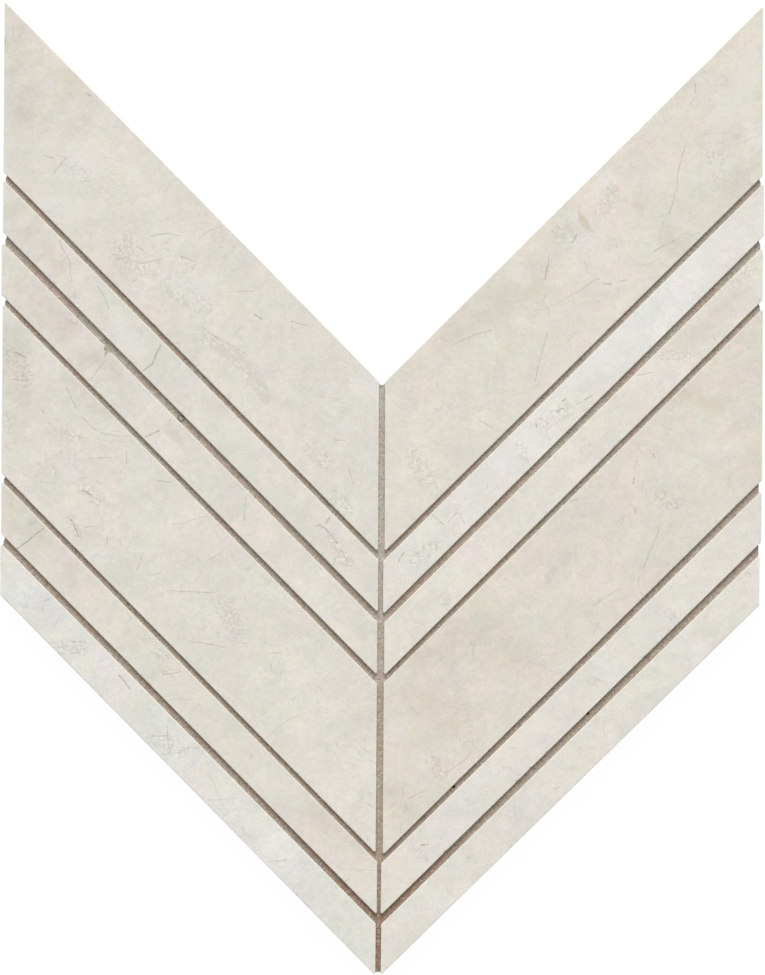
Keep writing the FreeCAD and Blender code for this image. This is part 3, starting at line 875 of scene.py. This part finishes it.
def add_marks(graph, point, colour, marks, base):
    """The areas and lines that were seen on the strip, laid over its colour."""
    patchy = graph.ramp(graph.noise(point, 3.5, 3, 0.6), 0.4, 0.54, 0.25, 1.0)
    mottled = graph.ramp(graph.noise(point, 8, 4, 0.6), 0.36, 0.6, 0.35, 1.0)
    cloudy = graph.bend(point, 9, 4)
    for kind, tint in TINTS.items():
        if kind in marks:
            share = graph.math("MULTIPLY", graph.within(cloudy, marks[kind], -0.1), mottled)
            colour = graph.mix(share, colour, graph.mix(1.0, colour, (*tint, 1), "MULTIPLY"))
    for kind, (strength, tint) in AREAS.items():
        if kind in marks:
            share = graph.math("MULTIPLY", graph.within(cloudy, marks[kind]), patchy)
            colour = graph.mix(graph.math("MULTIPLY", share, strength), colour, tinted(base, *tint))
    wavy = graph.bend(graph.bend(point, 6, 0.4), 1.8, 0.22)
    for kind, (strength, tint) in SPOTS.items():
        for width, route in marks.get(kind, []):
            spot = graph.ramp(graph.away_from(wavy, [route]), width / 2, width / 2 - 0.3)
            colour = graph.mix(graph.math("MULTIPLY", spot, strength), colour, tinted(base, *tint))
    broken = graph.ramp(graph.noise(point, 1.8, 2), 0.36, 0.5, 0.45, 1.0)
    for kind, (width, strength, tint) in LINES.items():
        if kind in marks:
            line = graph.ramp(graph.away_from(wavy, marks[kind]), width / 2, 0.0)
            share = graph.math("MULTIPLY", graph.math("MULTIPLY", line, broken), strength)
            colour = graph.mix(share, colour, tinted(base, *tint))
    return colour


def marble(node, index):
    """Honed pale marble with a painted highlight along its eased edge, and sawn sides and back."""
    material, graph = new_material(f"marble_{node}")
    tone, pale, lines = TONES[node]
    base = srgb(*tone)
    sheet = place_in_mm(graph)
    block = graph.vector("ADD", sheet, (index * 211.0, index * -97.0, index * 53.0))
    flat = graph.vector("MULTIPLY", sheet, (1, 1, 0))
    marks = MARKS[node]
    crowded = graph.within(flat, marks.get("scribbles", []))
    colour, grain = marble_ground(graph, block, tone, pale, lines, crowded)
    colour = add_marks(graph, flat, colour, marks, base)

    up = facing(graph)[2]
    # Painted highlight: the eased edge band is painted lighter than the face, on every side alike.
    edge_highlight = graph.math("MULTIPLY", graph.ramp(up, 0.15, 0.6), graph.ramp(up, 0.985, 0.9))
    colour = graph.mix(graph.math("MULTIPLY", edge_highlight, 0.9), colour, tinted(base, 1.16, 1.155, 1.10))
    cut = graph.ramp(up, 0.3, 0.05)
    stretched = graph.vector("MULTIPLY", block, (0.08, 0.08, 3.0))
    streaks = graph.ramp(graph.noise(stretched, 1.0, 2), 0.35, 0.65, 0.9, 0.97)
    sawn = graph.mix(1.0, colour, streaks, "MULTIPLY")
    colour = graph.mix(cut, colour, sawn)
    if node == CHIPPED:
        smeared = graph.math("MULTIPLY", graph.within(flat, [CHIP_SMEAR]), graph.ramp(up, 0.995, 0.97))
        colour = graph.mix(smeared, colour, srgb(170, 160, 145))

    wear = graph.ramp(graph.noise(block, 5, 3), 0.3, 0.7, 0.30, 0.40)
    roughness = graph.add("ShaderNodeMix", {0: cut, 2: wear, 3: 0.8}, data_type="FLOAT").outputs[0]
    relief = graph.math("MULTIPLY_ADD", graph.math("MULTIPLY", streaks, cut), 6.0, grain)
    bump = graph.add("ShaderNodeBump", {"Strength": 0.25, "Distance": 0.05 * MM, "Height": relief})
    surface = graph.add("ShaderNodeBsdfPrincipled", {
        "Base Color": colour, "Roughness": roughness, "Normal": bump.outputs[0], "IOR": 1.49})
    graph.add("ShaderNodeOutputMaterial", {"Surface": surface.outputs[0]})
    return material


def sanded_grout():
    """Sandy grout that drifts between olive grey and pinkish brown, browner towards the sheet's point, with
    painted shade in the sloping joints, in the pinholes and on the lump's flanks.
    """
    material, graph = new_material("grout_sand")
    point = place_in_mm(graph)
    stretch = graph.ramp(graph.noise(point, 16, 2), 0.4, 0.6)
    colour = graph.mix(stretch, srgb(182, 175, 161), srgb(186, 168, 154))
    down = graph.add("ShaderNodeSeparateXYZ", {0: point}).outputs[1]
    colour = graph.mix(graph.math("MULTIPLY", graph.ramp(down, 40, -90), 0.75), colour, srgb(175, 158, 141))
    colour = graph.mix(graph.math("MULTIPLY", graph.ramp(down, -115, -183), 0.9), colour, srgb(149, 121, 101))

    sand = graph.add("ShaderNodeTexVoronoi", {"Vector": point, "Scale": 1 / 0.55, "Randomness": 1.0})
    shade = graph.add("ShaderNodeSeparateXYZ", {0: sand.outputs["Color"]}).outputs[0]
    dark = graph.ramp(shade, 0.22, 0.05)
    light = graph.ramp(shade, 0.8, 0.97)
    colour = graph.mix(graph.math("MULTIPLY", dark, 0.45), colour, srgb(112, 100, 86))
    colour = graph.mix(graph.math("MULTIPLY", light, 0.45), colour, srgb(222, 214, 200))
    mottle = graph.ramp(graph.noise(point, 1.8, 3), 0.3, 0.7, 0.93, 1.06)
    # Painted shade: the sloping joints, which cross the light, and the point of the centre joint are darkened to
    # 0.89, while the top of the centre joint is tinted cooler.
    aside = graph.math("ABSOLUTE", graph.add("ShaderNodeSeparateXYZ", {0: point}).outputs[0])
    cool = graph.mix(graph.ramp(down, -85, -70), (1, 1, 1, 1), (1.02, 1.08, 1.135, 1))
    painted_joint_shade = (0.89, 0.89, 0.89, 1)
    cool = graph.mix(graph.ramp(down, -175, -162), painted_joint_shade, cool)
    colour = graph.mix(1.0, colour, graph.mix(graph.ramp(aside, 5.0, 2.0), painted_joint_shade, cool), "MULTIPLY")
    colour = graph.mix(1.0, colour, mottle, "MULTIPLY")

    # Painted shade: a dark ring on the flanks of the grout lump.
    lump = graph.vector("DISTANCE", point, (GROUT_LUMP[0], GROUT_LUMP[1], 9.0))
    lump_flank_shade = graph.math("MULTIPLY", graph.ramp(lump, 0.7, 1.2), graph.ramp(lump, 1.9, 1.3))
    colour = graph.mix(graph.math("MULTIPLY", lump_flank_shade, 0.8), colour, srgb(96, 86, 72))

    # Painted shade: the pinholes are painted near black inside.
    flat = graph.vector("MULTIPLY", point, (1, 1, 0))
    hole = graph.ramp(graph.away_from(flat, [[place] for place in PINHOLES]), 0.75, 0.45)
    colour = graph.mix(hole, colour, srgb(52, 40, 30))

    relief = graph.math("SUBTRACT", graph.noise(point, 0.35, 3), sand.outputs["Distance"])
    bump = graph.add("ShaderNodeBump", {"Strength": 0.8, "Distance": 0.12 * MM, "Height": relief})
    surface = graph.add("ShaderNodeBsdfPrincipled", {
        "Base Color": colour, "Roughness": 0.92, "Normal": bump.outputs[0]})
    graph.add("ShaderNodeOutputMaterial", {"Surface": surface.outputs[0]})
    return material


def glass_yarn():
    """White glass yarn with a resin coating and fine filaments."""
    material, graph = new_material("glass_yarn")
    point = place_in_mm(graph)
    filaments = graph.ramp(graph.noise(point, 0.12, 2), 0.3, 0.7)
    stain = graph.ramp(graph.noise(point, 14, 3), 0.35, 0.7)
    colour = graph.mix(filaments, srgb(216, 217, 212), srgb(240, 240, 236))
    colour = graph.mix(graph.math("MULTIPLY", stain, 0.4), colour, srgb(222, 214, 196))
    bump = graph.add("ShaderNodeBump", {"Strength": 0.5, "Distance": 0.04 * MM, "Height": filaments})
    surface = graph.add("ShaderNodeBsdfPrincipled", {
        "Base Color": colour, "Roughness": 0.42, "Normal": bump.outputs[0]})
    graph.add("ShaderNodeOutputMaterial", {"Surface": surface.outputs[0]})
    return material


def seen_directly(graph):
    """1 for rays that show the surroundings: from the camera, in gloss and through glass."""
    path = graph.add("ShaderNodeLightPath", {}).outputs
    either = graph.math("MAXIMUM", path["Is Camera Ray"], path["Is Glossy Ray"])
    return graph.math("MAXIMUM", either, path["Is Transmission Ray"])


def make_floor():
    """Plain white floor, which keeps a soft shadow of the sheet."""
    material, graph = new_material("floor")
    diffuse = graph.add("ShaderNodeBsdfDiffuse", {"Color": (0.9, 0.9, 0.9, 1)})
    glow = graph.add("ShaderNodeEmission", {"Color": (1, 1, 1, 1), "Strength": 1.02})
    share = graph.math("MULTIPLY", seen_directly(graph), 0.95)
    mixed = graph.add("ShaderNodeMixShader", {0: share, 1: diffuse.outputs[0], 2: glow.outputs[0]})
    graph.add("ShaderNodeOutputMaterial", {"Surface": mixed.outputs[0]})
    half = 3.0
    mesh = bpy.data.meshes.new("floor")
    mesh.from_pydata([(-half, -half, 0), (half, -half, 0), (half, half, 0), (-half, half, 0)], [], [(0, 1, 2, 3)])
    mesh.materials.append(material)
    floor = bpy.data.objects.new("floor", mesh)
    bpy.context.scene.collection.objects.link(floor)


def make_world():
    """Even white surroundings: white where they are seen, and a soft fill as light."""
    world = bpy.data.worlds.new("studio")
    world.use_nodes = True
    graph = Graph(world.node_tree)
    white = (1, 1, 1, 1)
    light = graph.add("ShaderNodeBackground", {"Color": white, "Strength": FILL_LEVEL})
    seen = graph.add("ShaderNodeBackground", {"Color": white, "Strength": 1.0})
    mixed = graph.add("ShaderNodeMixShader", {0: seen_directly(graph), 1: light.outputs[0], 2: seen.outputs[0]})
    graph.add("ShaderNodeOutputWorld", {"Surface": mixed.outputs[0]})
    bpy.context.scene.world = world


def make_key_light():
    """Broad soft light from above the open end of the Vs."""
    light = bpy.data.lights.new("key", "SUN")
    light.energy = KEY_LEVEL * math.pi / math.sin(KEY_HEIGHT)
    light.angle = KEY_SPREAD
    lamp = bpy.data.objects.new("key", light)
    lamp.rotation_euler = (KEY_HEIGHT - math.pi / 2, 0, 0)
    bpy.context.scene.collection.objects.link(lamp)


def make_camera():
    """Camera that looks straight down at the polished face, as the photograph does."""
    camera = bpy.data.cameras.new("camera")
    camera.lens = LENS
    camera.sensor_width = SENSOR
    camera.clip_start = 0.05
    camera.clip_end = 20
    view = bpy.data.objects.new("camera", camera)
    distance = LENS / SENSOR * IMAGE_HEIGHT * MM_PER_PIXEL * MM
    view.location = (*VIEW_MIDDLE, cad_box[1].z + distance)
    view.rotation_euler = (0, 0, ROLL)
    bpy.context.scene.collection.objects.link(view)
    bpy.context.scene.camera = view


def main():
    strips = sorted(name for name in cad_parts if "stone" in name)
    for index, node in enumerate(strips):
        make_strip(node, index + 1, marble(node, index))
    make_grout(sanded_grout())
    make_net(glass_yarn())
    make_floor()
    make_world()
    make_key_light()
    make_camera()
    bpy.context.scene.view_settings.view_transform = "Standard"


main()
